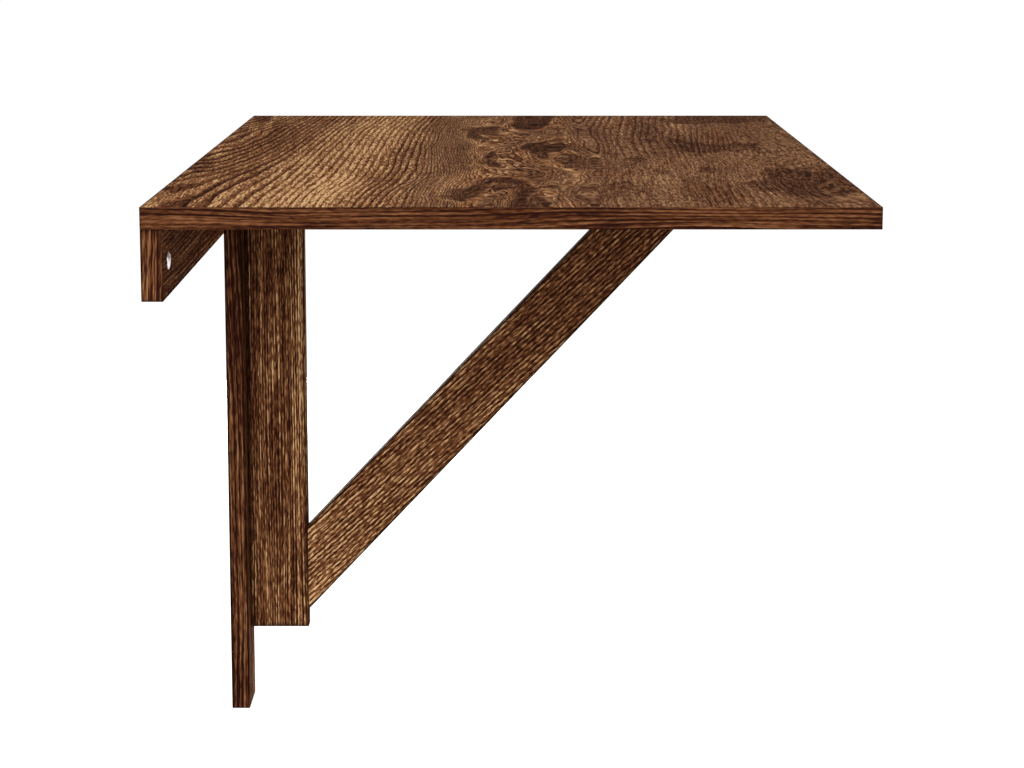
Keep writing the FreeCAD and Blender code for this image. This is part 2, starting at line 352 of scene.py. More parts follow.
def burl_group() -> Tree:
    """Makes dark burl patches with a pale rim, for the leaf's figure.

    Returns:
        The node group.
    """
    g, i, out = new_group("burl_patch", ("Seed", "Across", "Along"), ("Heart", "Rim", "Field"))
    field = g.noise(i["Vector"], i["Seed"],
                    Layer(i["Across"], i["Along"], detail=3.0, rough=0.55, twist=0.9))
    g.feed(out.inputs["Heart"], g.ease(field, *BURL_HEART))
    g.feed(out.inputs["Rim"], g.window(field, BURL_RIM))
    g.feed(out.inputs["Field"], field)
    return g.tree


def metal_group() -> Tree:
    """Makes the fine drawing lines and dull spots of plated metal.

    Returns:
        The node group.
    """
    g, i, out = new_group("plated_metal", ("Seed", "Dullness"), ("Shade", "Roughness", "Height"))
    lines = g.noise(i["Vector"], i["Seed"], DRAWN_LINES)
    spots = g.noise(i["Vector"], i["Seed"], DULL_SPOTS)
    g.feed(out.inputs["Shade"], g.add(g.times(lines, 1.0 - SPOT_SHARE), spots, SPOT_SHARE))
    dull = g.sway(i["Dullness"], spots, SPOT_DULLNESS)
    g.feed(out.inputs["Roughness"], g.sway(dull, lines, LINE_DULLNESS))
    g.feed(out.inputs["Height"], lines)
    return g.tree


OAK_GRAIN = grain_group()
EDGE_SHADOW_AND_WRAP = edge_shadow_and_wrap_group()
BURL_PATCH = burl_group()
PLATED_METAL = metal_group()

LEAF_TONES: ColourStops = (
    (0.0, (0.017, 0.0060, 0.0027)),
    (0.15, (0.038, 0.0130, 0.0056)),
    (0.32, (0.070, 0.0275, 0.0128)),
    (0.5, (0.112, 0.0490, 0.0240)),
    (0.68, (0.172, 0.0830, 0.0400)),
    (0.86, (0.300, 0.1580, 0.0740)),
    (1.0, (0.540, 0.3350, 0.1800)),
)

OAK_TONES: ColourStops = (
    (0.0, (0.015, 0.0048, 0.0030)),
    (0.15, (0.035, 0.0095, 0.0048)),
    (0.32, (0.069, 0.0240, 0.0092)),
    (0.5, (0.112, 0.0420, 0.0170)),
    (0.68, (0.176, 0.0740, 0.0315)),
    (0.86, (0.310, 0.1550, 0.0650)),
    (1.0, (0.540, 0.3300, 0.1550)),
)


@dataclass(frozen=True)
class BoardAxes:
    """Where a board lies and which way its grain, width and thickness run."""

    centre: Vector
    across: Vector  # unit vector over its width
    along: Vector  # unit vector along its grain
    half: Vector  # half width, half length and half thickness

    @classmethod
    def of_box(cls, node: str) -> "BoardAxes":
        """Reads a straight board's axes from its box: longest side is the grain, shortest the thickness.

        Args:
            node: the CAD node.

        Returns:
            The axes.
        """
        low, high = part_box(node)
        size = high - low
        thin, wide, long = sorted(range(3), key=lambda n: size[n])
        ways = (OUT, ALONG, UP)
        half = Vector((size[wide], size[long], size[thin])) / 2
        return cls((low + high) / 2, ways[wide], ways[long], half)

    def turn(self) -> Vector:
        """Gives the rotation from the board's own axes to the frame's."""
        thick = self.across.cross(self.along)
        return Vector(Matrix((self.across, self.along, thick)).transposed().to_euler())


class Material:
    """A new material with its Principled shader ready to be fed."""

    def __init__(self, name: str) -> None:
        """Makes the material.

        Args:
            name: the material's name.
        """
        self.data = bpy.data.materials.new(name)
        self.data.use_nodes = True
        self.graph = Graph(self.data.node_tree)
        self.shader = self.data.node_tree.nodes["Principled BSDF"]

    def feed(self, name: str, value: object) -> None:
        """Feeds a socket, a number or a colour to one input of the shader."""
        self.graph.feed(self.shader.inputs[name], value)

    def place(self, centre: Vector = Vector(), turn: Vector = Vector()) -> Socket:
        """Gives Object coordinates about a centre, turned into a board's own axes."""
        values = (self.graph.node("ShaderNodeTexCoord").outputs["Object"], centre, turn)
        return self.graph.node("ShaderNodeMapping", *values, vector_type="TEXTURE").outputs[0]

    def bump(self, height: Socket, strength: float, depth: float) -> None:
        """Feeds a relief to the shader's normal, with its strength and its depth in metres."""
        named = {"Strength": strength, "Distance": depth, "Height": height}
        self.feed("Normal", self.graph.node("ShaderNodeBump", named=named).outputs[0])


@dataclass(frozen=True)
class Foil:
    """Smoked oak foil."""

    seed: float  # sets its figure apart from the other boards'
    pitch: float = 0.0045  # distance between growth lines
    figure: float = 0.014  # how far the growth lines wander over the width
    figure_width: float = 0.07  # size of the wandering over the width
    figure_length: float = 0.55  # size of the wandering along the grain
    drift: float = 0.7  # how much its tone changes in broad bands
    line_depth: float = 0.45  # how dark the growth lines are
    streak: float = 0.3  # how strong the long fibres show
    fleck: float = 0.36  # how strong the short flecks show
    fleck_length: float = 0.03  # length of a fleck along the grain
    fineness: float = 1.6  # how much finer than plain oak the fibres and flecks are
    pore_depth: float = 0.2  # how dark the pores are
    wobble: float = 0.004  # how far the growth lines tremble
    roughness: Pair = (0.72, 0.55)  # at the darkest and the lightest tone
    relief: float = 0.25  # how strong its relief is

    def _grain(self, g: Graph, **fed: object) -> Node:
        """Places the grain with the foil's own values.

        Args:
            g: the material's graph.
            fed: inputs that are added to these values or replace them.

        Returns:
            The group's node.
        """
        fields = [name.replace(" ", "_") for name in GRAIN_VALUES]
        return g.group(OAK_GRAIN, **{**{name: getattr(self, name.lower()) for name in fields}, **fed})

    def _finish(self, made: Material, grain: Node, colour: Socket) -> bpy.types.Material:
        """Feeds a material's shader.

        Args:
            made: the material.
            grain: its grain.
            colour: its colour.

        Returns:
            The finished material.
        """
        made.feed("Base Color", colour)
        made.feed("Roughness", made.graph.ease(grain.outputs["Tone"], 0.0, 1.0, *self.roughness))
        made.feed("Specular IOR Level", FOIL_GLOSS)
        made.bump(grain.outputs["Height"], self.relief, FOIL_RELIEF)
        return made.data


@dataclass(frozen=True)
class OakFinish(Foil):
    """Smoked oak foil on one board."""

    tone: float = 0.47  # how light the board is
    lean: float = 0.0  # how the tone changes over half the width
    fade: float = 0.0  # painted shade under the leaf: how much darker the board gets for each metre along its grain, upwards on the stile and strut
    skew: float = 0.0  # angle between the grain and the board's length
    edge: float = 0.75  # how dark the edge lines are: painted edge shadow, partly the foil's darker wrap
    edge_width: float = 0.0025  # how far the painted edge shadow reaches in

    def material(self, name: str, axes: BoardAxes) -> bpy.types.Material:
        """Makes the material for one board.

        Args:
            name: the material's name.
            axes: the board's place and directions.

        Returns:
            The material.
        """
        made = Material(name)
        g = made.graph
        own = made.place(axes.centre, axes.turn())
        x, y, _ = g.split(own)
        # fade paints the shade under the leaf as a darkening along the grain.
        tone = g.add(g.add(self.tone, x, self.lean / axes.half.x), y, -self.fade)
        grain = self._grain(g, Vector=self._grain_way(g, own, axes.along), Tone=tone)
        # Dark lines along the edges: painted edge shadow, partly the foil's darker wrap.
        arris = g.group(EDGE_SHADOW_AND_WRAP, Vector=own, Half_Width=axes.half.x, Half_Length=axes.half.y,
                        Half_Thickness=axes.half.z, Line_Width=self.edge_width)
        shade = g.times(arris.outputs["Mask"], self.edge)
        colour = g.mix("RGBA", shade, g.ramp(grain.outputs["Tone"], OAK_TONES), EDGE_SHADOW_AND_WRAP_COLOUR)
        return self._finish(made, grain, colour)

    def _grain_way(self, g: Graph, own: Socket, along: Vector) -> Socket:
        """Turns a board's coordinates on its ends, where the foil runs over the width, and by its skew.

        Args:
            g: the material's graph.
            own: the board's coordinates.
            along: the board's length.

        Returns:
            Coordinates with the grain along Y.
        """
        x, y, z = g.split(own)
        normal = g.node("ShaderNodeTexCoord").outputs["Normal"]
        facing = g.node("ShaderNodeVectorMath", normal, along, operation="DOT_PRODUCT")
        ends = g.math("GREATER_THAN", g.math("ABSOLUTE", facing.outputs["Value"]), END_GRAIN_COSINE)
        way = g.mix("VECTOR", ends, own, g.vector(z, x, y))
        if self.skew:
            named = {"Angle": self.skew, "Vector": way}
            way = g.node("ShaderNodeVectorRotate", named=named, rotation_type="Z_AXIS").outputs[0]
        return way


STRAY = Layer(across=7.0, along=2.6, seed=31.0, detail=3.0, rough=0.55)
STILL = Layer(across=5.0, along=2.0, seed=21.0, span=(0.44, 0.56))
LICK = Layer(across=12.0, along=2.6, seed=14.0, twist=0.3)
TONGUE = Layer(across=24.0, along=4.0, seed=15.0, twist=0.5, span=(0.54, 0.59))
BURL = Layer(across=13.0, along=3.2, seed=2.0)
SMEAR = Layer(across=9.0, along=3.0, seed=9.0)


@dataclass(frozen=True)
class LeafFinish(Foil):
    """The leaf's figured foil: straight tan grain at the wall, burl in the middle, loops at the front.

    Shares are of the leaf's depth, from the wall to the front.
    """

    seed: float = 4.2
    pitch: float = 0.0068
    figure: float = 0.12
    figure_width: float = 0.13
    figure_length: float = 0.44
    drift: float = 0.5
    streak: float = 0.2
    fleck: float = 0.4
    fleck_length: float = 0.012
    fineness: float = 1.0
    roughness: Pair = (0.8, 0.68)
    relief: float = 0.2
    tones: Stops = ((0.0, 0.74), (0.1, 0.68), (0.18, 0.87), (0.27, 0.88),  # its tone at shares
                    (0.37, 0.63), (0.54, 0.58), (0.7, 0.57), (1.0, 0.55))
    figures: Stops = ((0.0, 0.2), (0.1, 0.12), (0.2, 0.08), (0.34, 0.14),  # share of the full figure
                      (0.45, 0.6), (0.6, 0.28), (0.75, 0.22), (1.0, 0.6))
    depths: Stops = ((0.0, 0.7), (0.12, 0.6), (0.3, 0.54),  # used in place of line_depth
                     (0.5, 0.46), (0.65, 0.4))
    stray: float = 0.12  # how far all the shares stray
    slant: float = 0.1  # how far the tones shift, as a share for each metre along the wall
    fade: float = 0.12  # how much darker it gets for each metre along the wall
    faded: Window = (0.05, 0.15, 0.3, 0.5)  # the shares between which it does
    burl_at: float = 0.5  # the share where the burl lies
    burl_fade: Pair = (0.056, 0.14)  # how far from there it fades and is gone
    heart: float = 0.36  # how dark the burl's hearts are
    rim: float = 0.16  # how light their rims are
    heart_calm: float = 0.6  # how far the growth lines fade in them
    warp: float = 0.14  # how far the growth lines bend round them
    front: Pair = (0.55, 0.7)  # where the still and smeared front half starts
    calm: float = 0.75  # how far the growth lines fade in the still places
    smear: float = 0.22  # how dark the smears are
    lean: float = 0.03  # how far the growth lines lean for each metre along the wall
    sweep: float = 0.075  # how much more they lean at the wall edge
    sweep_from: float = 0.36  # how far before the leaf's middle they start to sweep
    flame_width: float = 0.11  # distance from the wall edge over which they open up into flames
    flame_pitch: float = 0.22  # the share of them that is left at the wall edge
    lick: float = 0.04  # how far the flames flicker
    tongue: float = 0.24  # how dark the tongues at the wall edge are
    tongue_end: Pair = (0.03, 0.1)  # the shares over which they end
    golden: Window = (-0.12, -0.02, 0.3, 0.42)  # the shares between which the foil is golden

    def material(self, name: str, axes: BoardAxes) -> bpy.types.Material:
        """Makes the leaf's material.

        Args:
            name: the material's name.
            axes: the leaf's place and directions.

        Returns:
            The material.
        """
        made = Material(name)
        g = made.graph
        own = made.place(axes.centre, axes.turn())
        x, y, _ = g.split(own)
        share = g.add(0.5, x, 0.5 / axes.half.x)
        share = g.sway(share, g.noise(own, self.seed, STRAY), self.stray)
        toned = g.add(share, y, -self.slant)
        tone, depth = g.level(toned, self.tones), g.level(share, self.depths)
        tone = g.add(tone, g.times(y, g.window(toned, self.faded)), -self.fade)
        # The burl in the middle: dark hearts with few lines, pale rims, and lines that bend round them.
        away = g.math("ABSOLUTE", g.math("SUBTRACT", share, self.burl_at))
        in_burl = g.ease(away, *self.burl_fade, 1.0, 0.0)
        burl, smears = (g.group(BURL_PATCH, Vector=own, Seed=self.seed + kind.seed, Across=kind.across,
                                Along=kind.along) for kind in (BURL, SMEAR))
        heart, rim, field = (g.times(burl.outputs[part], in_burl) for part in ("Heart", "Rim", "Field"))
        tone = g.add(g.add(tone, heart, -self.heart), rim, self.rim)
        depth = g.times(depth, g.add(1.0, heart, -self.heart_calm))
        # The front half: still places and dark smears.
        in_front = g.ease(share, *self.front)
        still = g.times(g.noise(own, self.seed, STILL), in_front)
        depth = g.times(depth, g.add(1.0, still, -self.calm))
        tone = g.add(tone, g.times(smears.outputs["Heart"], in_front), -self.smear)
        # The wall edge: dark tongues.
        tongue = g.noise(own, self.seed, TONGUE)
        tone = g.add(tone, g.times(tongue, g.ease(share, *self.tongue_end, 1.0, 0.0)), -self.tongue)
        grain = self._grain(g, Vector=own, Tone=tone, Line_Depth=depth,
                            Figure=g.times(g.level(share, self.figures), self.figure),
                            Warp=g.times(field, self.warp), Flame=self._flame(g, own, axes.half.x))
        pale = g.ease(smears.outputs["Field"], 0.44, 0.36, 0.0, 0.8)
        gold = g.math("MAXIMUM", g.math("MAXIMUM", g.window(share, self.golden), pale), rim)
        plain, golden = (g.ramp(grain.outputs["Tone"], tones) for tones in (LEAF_TONES, OAK_TONES))
        return self._finish(made, grain, g.mix("RGBA", gold, plain, golden))

    def _flame(self, g: Graph, own: Socket, half_depth: float) -> Socket:
        """Shifts the growth lines so that they lean, and open up into flames at the wall edge.

        Args:
            g: the material's graph.
            own: the leaf's coordinates.
            half_depth: half the leaf's depth.

        Returns:
            The shift over the width, in metres.
        """
        x, y, _ = g.split(own)
        from_wall = g.math("ADD", x, half_depth)
        at_wall = g.ease(from_wall, 0.0, self.flame_width, 1.0, 0.0)
        swept = g.math("SMOOTH_MAX", g.math("ADD", y, self.sweep_from), 0.0, 0.2)
        flame = g.add(g.times(g.times(at_wall, swept), -self.sweep), y, -self.lean)
        inside = g.math("MAXIMUM", g.math("SUBTRACT", self.flame_width, from_wall), 0.0)
        opened = (1.0 - self.flame_pitch) / (2.0 * self.flame_width)
        flame = g.add(flame, g.times(inside, inside), opened)
        return g.add(flame, g.times(g.noise(own, self.seed, LICK), at_wall), self.lick)


@dataclass(frozen=True)
class MetalFinish:
    """Plated metal."""

    dark: Colour  # colour in the dull spots
    light: Colour  # colour in the bright spots
    dullness: float  # the mean roughness
    seed: float  # sets the spots

    def material(self, name: str) -> bpy.types.Material:
        """Makes the material.

        Args:
            name: the material's name.

        Returns:
            The material.
        """
        made = Material(name)
        plate = made.graph.group(PLATED_METAL, Vector=made.place(), Seed=self.seed,
                                 Dullness=self.dullness)
        made.feed("Base Color", made.graph.mix("RGBA", plate.outputs["Shade"], self.dark, self.light))
        made.feed("Roughness", plate.outputs["Roughness"])
        made.feed("Metallic", 1.0)
        made.bump(plate.outputs["Height"], strength=0.1, depth=0.0001)
        return made.data


@dataclass(frozen=True)
class RubberFinish:
    """Matte black rubber with a fine moulded grain."""

    dark: Colour = (0.014, 0.014, 0.014)  # colour in the hollows
    light: Colour = (0.045, 0.044, 0.042)  # colour where it has bloomed grey
    bloom: Layer = Layer(across=220.0, along=220.0, seed=1.5, detail=3.0)  # its grey bloom
    pebble: Layer = Layer(across=1800.0, along=1800.0, seed=2.5, detail=1.0)  # its moulded grain

    def material(self, name: str) -> bpy.types.Material:
        """Makes the material.

        Args:
            name: the material's name.

        Returns:
            The material.
        """
        made = Material(name)
        g, own = made.graph, made.place()
        bloom = g.noise(own, 0.0, self.bloom)
        made.feed("Base Color", g.mix("RGBA", bloom, self.dark, self.light))
        made.feed("Roughness", g.ease(bloom, 0.2, 0.8, 0.7, 0.9))
        made.bump(g.noise(own, 0.0, self.pebble), strength=0.3, depth=0.0002)
        return made.data


ZINC = MetalFinish((0.21, 0.21, 0.205), (0.46, 0.46, 0.45), 0.36, 2.0).material("zinc_plate")
SCREW_ZINC = MetalFinish((0.10, 0.10, 0.095), (0.30, 0.295, 0.28), 0.3, 3.0).material("zinc_screws")
NICKEL = MetalFinish((0.66, 0.62, 0.63), (0.86, 0.82, 0.83), 0.42, 6.0).material("satin_nickel")
RUBBER = RubberFinish().material("matte_rubber")


def cover(node: str, material: bpy.types.Material) -> None:
    """Gives a CAD node its only material.

    Args:
        node: the CAD node.
        material: what it is covered with.
    """
    mesh = NODES[node].data
    mesh.materials.clear()
    mesh.materials.append(material)
    LOG.info("%s is dressed in %s", node, material.name)


def solid_boxes(node: str) -> list[tuple[Vector, Vector]]:
    """Finds the box of each separate solid in a CAD node.

    Args:
        node: the CAD node.

    Returns:
        Lowest and highest corner of each solid.
    """
    copy = bmesh.new()
    copy.from_mesh(NODES[node].data)
    bmesh.ops.remove_doubles(copy, verts=copy.verts, dist=1e-6)
    left, boxes = set(copy.verts), []
    while left:
        group, edge = set(), [left.pop()]
        while edge:
            vert = edge.pop()
            group.add(vert)
            fresh = [e.other_vert(vert) for e in vert.link_edges if e.other_vert(vert) in left]
            left.difference_update(fresh)
            edge.extend(fresh)
        low, high = (Vector([pick(v.co[n] for v in group) for n in range(3)]) for pick in (min, max))
        boxes.append((low, high))
    copy.free()
    return sorted(boxes, key=lambda pair: tuple(round(c, 5) for c in pair[0]))


class ScrewTree:
    """The Geometry Nodes tree that sets a screw with a cross recess on each point.

    Sizes are shares of the screw's diameter, and along the shank they are shares of its length.
    """

    SIZES = (("Head Share", 1.0), ("Head Height Share", 0.6), ("Dome Share", 0.0), ("Shank Share", 0.5),
             ("Recess Share", 0.95), ("Recess Width Share", 0.26), ("Recess Depth Share", 0.42))
    HEAD_SIDES = 32
    DOME_TOP = 0.55
    FLATTEST_DOME = 0.01
    SHANK_SIDES = 20
    SHANK_RADIUS = 0.49
    TIP_RADIUS = 0.3
    SHANK_LENGTH = 0.9
    SHANK_UNDER = -0.97

    def __init__(self) -> None:
        """Builds the tree."""
        self.tree = bpy.data.node_groups.new("cross_recess_screws", "GeometryNodeTree")
        self.graph = Graph(self.tree)
        face = self.tree.interface
        face.new_socket(name="Geometry", in_out="INPUT", socket_type="NodeSocketGeometry")
        for name, value in self.SIZES:
            socket = face.new_socket(name=name, in_out="INPUT", socket_type="NodeSocketFloat")
            socket.default_value = value
        face.new_socket(name="Material", in_out="INPUT", socket_type="NodeSocketMaterial")
        face.new_socket(name="Geometry", in_out="OUTPUT", socket_type="NodeSocketGeometry")
        self._build()

    def _attribute(self, name: str, kind: str) -> Socket:
        """Reads a named attribute of the points."""
        node = self.graph.node("GeometryNodeInputNamedAttribute", named={"Name": name}, data_type=kind)
        return [s for s in node.outputs if s.enabled and s.name == "Attribute"][0]

    def _cone(self, sides: int, top: Value, bottom: Value, depth: Value) -> Socket:
        """Makes a closed cone that stands on the plane Z = 0."""
        named = {"Vertices": sides, "Radius Top": top, "Radius Bottom": bottom, "Depth": depth}
        return self.graph.node("GeometryNodeMeshCone", named=named, fill_type="NGON").outputs["Mesh"]

    def _moved(self, shape: Socket, height: Value) -> Socket:
        """Moves a shape along Z."""
        named = {"Geometry": shape, "Translation": self.graph.vector(0.0, 0.0, height)}
        return self.graph.node("GeometryNodeTransform", named=named).outputs["Geometry"]

    def _joined(self, way: str, shapes: list[Socket], base: Socket | None = None) -> Socket:
        """Joins shapes, or cuts them from a base.

        Args:
            way: the operation.
            shapes: the shapes.
            base: what they are cut from.

        Returns:
            The geometry that is left.
        """
        node = self.graph.node("GeometryNodeMeshBoolean", operation=way)
        if base is not None:
            self.graph.feed(node.inputs["Mesh 1"], base)
        for shape in shapes:
            self.graph.feed(node.inputs["Mesh 2"], shape)
        return node.outputs["Mesh"]

    def _head(self, size: dict[str, Socket]) -> Socket:
        """Makes a countersunk head with its dome, and cuts the cross.

        Args:
            size: the tree's inputs.

        Returns:
            The head's geometry.
        """
        g = self.graph
        cone = self._cone(self.HEAD_SIDES, size["Head Share"], size["Shank Share"],
                          size["Head Height Share"])
        sunk = self._moved(cone, g.times(size["Head Height Share"], -1.0))
        dome = self._cone(self.HEAD_SIDES, g.times(size["Head Share"], self.DOME_TOP),
                          size["Head Share"], g.math("MAXIMUM", size["Dome Share"], self.FLATTEST_DOME))
        whole = self._joined("UNION", [dome, sunk])
        long = g.times(size["Head Share"], size["Recess Share"])
        thin = g.times(size["Head Share"], size["Recess Width Share"])
        high = g.times(size["Recess Depth Share"], 2.0)
        bars = [g.node("GeometryNodeMeshCube", g.vector(*sides, high)).outputs["Mesh"]
                for sides in ((long, thin), (thin, long))]
        return self._joined("DIFFERENCE", bars, whole)

    def _build(self) -> None:
        """Makes the unit screw, sets it on the points and gives it its material."""
        g = self.graph
        size = {s.name: s for s in g.node("NodeGroupInput").outputs if s.name}
        shank = self._cone(self.SHANK_SIDES, self.SHANK_RADIUS, self.TIP_RADIUS, self.SHANK_LENGTH)
        named = {"Vector": self._attribute("aim", "FLOAT_VECTOR")}
        aim = g.node("FunctionNodeAlignRotationToVector", named=named, axis="Z").outputs[0]
        wide, long = self._attribute("diameter", "FLOAT"), self._attribute("length", "FLOAT")
        both = g.node("GeometryNodeJoinGeometry")
        for shape, scale in ((self._head(size), g.vector(wide, wide, wide)),
                             (self._moved(shank, self.SHANK_UNDER), g.vector(wide, wide, long))):
            named = {"Points": size["Geometry"], "Instance": shape, "Rotation": aim, "Scale": scale}
            g.feed(both.inputs[0], g.node("GeometryNodeInstanceOnPoints", named=named).outputs[0])
        real = g.node("GeometryNodeRealizeInstances", both.outputs[0])
        named = {"Geometry": real.outputs[0], "Material": size["Material"]}
        g.node("NodeGroupOutput", g.node("GeometryNodeSetMaterial", named=named).outputs[0])


@dataclass(frozen=True)
class ScrewPlace:
    """Where one screw sits."""

    head: Vector  # the middle of its head's face
    aim: Vector  # its outward direction
    diameter: float  # the shank's diameter
    length: float


@dataclass(frozen=True)
class ScrewRow:
    """The screws of one CAD node, all of one size and driven one way."""

    node: str  # the CAD node that they stand for
    diameter: float  # the shank's diameter
    way: Vector  # the direction that they are driven in
    sunk: float = 0.0001  # how far a head lies under the face that it is driven into

    def places(self) -> list[ScrewPlace]:
        """Finds the place of each screw.

        Returns:
            One place for each screw.
        """
        found = []
        for low, high in solid_boxes(self.node):
            length = abs((high - low).dot(self.way))
            head = (low + high) / 2 - self.way * (length / 2 - self.sunk)
            found.append(ScrewPlace(head, -self.way, self.diameter, length))
        return found


@dataclass
class ScrewSet:
    """Screws that ride on one body."""

    name: str
    body: Body  # the body that carries them
    rows: tuple[ScrewRow, ...]  # the CAD screws that they stand for
    extra: tuple[ScrewPlace, ...]  # more screws
    sizes: dict[str, float]  # the tree's inputs that differ from its own values
    material: bpy.types.Material  # the plating
    slot: Slot

    def build(self, tree: ScrewTree) -> None:
        """Makes the screws as one plain mesh.

        Args:
            tree: the tree that sets them.
        """
        places = [place for row in self.rows for place in row.places()] + list(self.extra)
        mesh = bpy.data.meshes.new(self.name)
        mesh.from_pydata([place.head for place in places], [], [])
        for label, kind, field in (("aim", "FLOAT_VECTOR", "vector"), ("diameter", "FLOAT", "value"),
                                   ("length", "FLOAT", "value")):
            layer = mesh.attributes.new(label, kind, "POINT")
            for item, place in zip(layer.data, places):
                setattr(item, field, getattr(place, label))
        piece = bpy.data.objects.new(self.name, mesh)
        bpy.context.scene.collection.objects.link(piece)
        modifier = piece.modifiers.new("screws", "NODES")
        modifier.node_group = tree.tree
        sockets = {s.name: s.identifier for s in tree.tree.interface.items_tree if s.in_out == "INPUT"}
        modifier[sockets["Material"]] = self.material
        for label, value in self.sizes.items():
            modifier[sockets[label]] = value
        graph = bpy.context.evaluated_depsgraph_get()
        plain = bpy.data.meshes.new_from_object(piece.evaluated_get(graph), depsgraph=graph)
        piece.modifiers.clear()
        piece.data = plain
        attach(piece, self.body.value)
        if self.rows:
            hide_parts(*[row.node for row in self.rows])
        LOG.info("%s holds %d screws", self.name, len(places))


@dataclass
class BoardSet:
    """Straight boards in oak foil."""

    boards: dict[str, OakFinish]  # the foil on each board

    def dress(self) -> None:
        """Covers the boards."""
        for node, finish in self.boards.items():
            cover(node, finish.material(node + "_oak", BoardAxes.of_box(node)))


@dataclass
class Leaf(BoardSet):
    """The drop leaf, with its four edge bands as the boards."""

    figure: LeafFinish  # the foil on the leaf's faces

    def dress(self) -> None:
        """Covers the board and its edges."""
        cover("tabletop", self.figure.material("leaf_oak", BoardAxes.of_box("tabletop")))
        super().dress()


@dataclass
class WallFrame(BoardSet):
    """The batten, post and stop block, with the cup washers and screws that hold them."""

    wall_screw: float = 0.0056  # diameter of the wall screws
    sunk: float = 0.00025  # how far a wall screw's rim lies under its washer's crown
    tail: float = 0.0005  # how far a wall screw ends before the wall

    def dress(self) -> None:
        """Covers the boards and the washers."""
        super().dress()
        cover("wall_washers", NICKEL)

    def screws(self, tree: ScrewTree) -> None:
        """Sets the wall screws in the washers, and the screws of post, stop block and hinges.

        Args:
            tree: the screws' tree.
        """
        places = []
        for low, high in solid_boxes("wall_washers"):
            face, middle = high.x - self.sunk, (low + high) / 2
            head = Vector((face, middle.y, middle.z))
            places.append(ScrewPlace(head, OUT, self.wall_screw, face - self.tail))
        sizes = {"Head Share": 0.93, "Head Height Share": 0.21, "Dome Share": 0.13,
                 "Recess Width Share": 0.2, "Recess Depth Share": 0.2}
        ScrewSet("wall_screws", Body.WALL_FRAME, (), tuple(places), sizes, NICKEL,
                 Slot.NICKEL).build(tree)
        rows = (ScrewRow("post_screws", POST_SCREW, OUT),
                ScrewRow("stop_screws", STOP_SCREW, UP),
                ScrewRow("bracket_hinge_post_screws", HINGE_SCREW, -OUT),
                ScrewRow("leaf_hinge_arm_screws", HINGE_SCREW, -OUT),
                ScrewRow("leaf_hinge_flap_screws", HINGE_SCREW, UP))
        ScrewSet("frame_screws", Body.WALL_FRAME, rows, (), {}, SCREW_ZINC, Slot.ZINC).build(tree)


@dataclass
class SwingBracket(BoardSet):
    """The triangular bracket: stile, strut and rail, its dowels and the buffer on its head."""

    strut: OakFinish  # the foil on the diagonal strut
    dowels: OakFinish  # the look of the beech dowels
    strut_width: float = 0.059
    reach: float = 1.0  # more than half the strut's length, since its ends are cut aslant
    strut_thickness: float = 0.018

    def dress(self) -> None:
        """Covers the boards, the dowels and the buffer."""
        super().dress()
        cover("bracket_strut", self.strut.material("bracket_strut_oak", self._strut_axes()))
        cover("bracket_dowels", self.dowels.material("beech", BoardAxes.of_box("bracket_dowels")))
        cover("head_buffer", RUBBER)

    def _strut_axes(self) -> BoardAxes:
        """Finds where the strut lies.

        Returns:
            Its axes.
        """
        low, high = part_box("bracket_strut")
        along = Vector((math.cos(STRUT_ANGLE), 0, math.sin(STRUT_ANGLE)))
        across = Vector((along.z, 0, -along.x))
        sides = [v.co.dot(across) for v in NODES["bracket_strut"].data.vertices]
        centre = (low + high) / 2
        centre += across * ((min(sides) + max(sides)) / 2 - centre.dot(across))
        half = Vector((self.strut_width / 2, self.reach, self.strut_thickness / 2))
        return BoardAxes(centre, across, along, half)

    def screws(self, tree: ScrewTree) -> None:
        """Sets the screws of the stile's hinge flaps and of the buffer.

        Args:
            tree: the screws' tree.
        """
        rows = (ScrewRow("bracket_hinge_stile_screws", HINGE_SCREW, -ALONG),
                ScrewRow("head_buffer_screw", HINGE_SCREW, -UP))
        ScrewSet("bracket_screws", Body.BRACKET, rows, (), {}, SCREW_ZINC, Slot.ZINC).build(tree)


@dataclass
class Hinges:
    """The four hinges' flaps, arms and pins."""

    places: dict[str, tuple[str, ...]]  # the hinges' names and the pieces of each

    def dress(self) -> None:
        """Covers every piece in zinc."""
        for place, parts in self.places.items():
            for part in parts:
                cover(f"{place}_{part}", ZINC)


@dataclass(frozen=True)
class Lamp:
    """One soft area lamp."""

    name: str
    place: Vector  # where it hangs
    size: float  # the side of its square face
    power: float  # its power in watts

    def hang(self, target: Vector) -> None:
        """Adds the lamp, aimed at a point.

        Args:
            target: the point that it faces.
        """
        data = bpy.data.lights.new(self.name, "AREA")
        data.energy, data.size = self.power, self.size
        lamp = bpy.data.objects.new(self.name, data)
        lamp.location = self.place
        lamp.rotation_euler = (target - self.place).to_track_quat("-Z", "Y").to_euler()
        bpy.context.scene.collection.objects.link(lamp)


